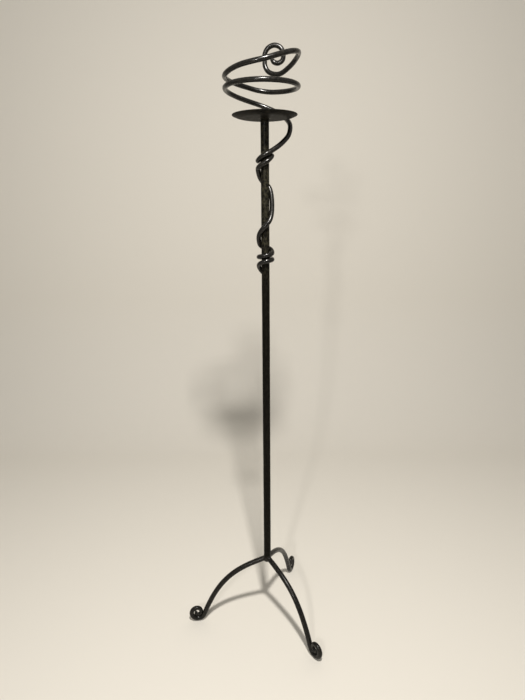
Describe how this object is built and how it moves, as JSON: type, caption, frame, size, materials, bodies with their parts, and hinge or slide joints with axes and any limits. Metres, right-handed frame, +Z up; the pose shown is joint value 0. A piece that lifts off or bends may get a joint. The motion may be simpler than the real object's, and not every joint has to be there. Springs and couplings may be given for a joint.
{
  "type": "torchere candle stand",
  "caption": "Tall forged-iron floor stand for a pillar candle: scroll-footed tripod, slender pole, shallow drip plate and a bar that winds up the pole and coils round the candle.",
  "frame": {"origin": "on the floor, below the middle of the stand's bounding box", "axes": "+Z up along the pole; +X to the right and +Y away from the viewer in the pictured front view"},
  "size_m": [0.3348, 0.3584, 1.3996],
  "materials": {
    "blackened_iron": "forged, blackened and waxed, with a little olive-grey mottling",
    "rubbed_iron": "forged, blackened and rubbed back, with soft pewter highlights",
    "plate_iron": "pressed sheet, blackened, satin"
  },
  "bodies": {
    "root": {"pole": "blackened_iron", "leg_rear": "blackened_iron", "leg_left": "blackened_iron", "leg_right": "blackened_iron", "weld_hub": "blackened_iron", "drip_plate": "plate_iron", "weld_plate": "blackened_iron", "climbing_rod": "rubbed_iron", "candle_coil": "rubbed_iron", "weld_coil": "rubbed_iron", "tack_lower_knot": "rubbed_iron", "tack_upper_knot": "rubbed_iron"}
  },
  "joints": []
}
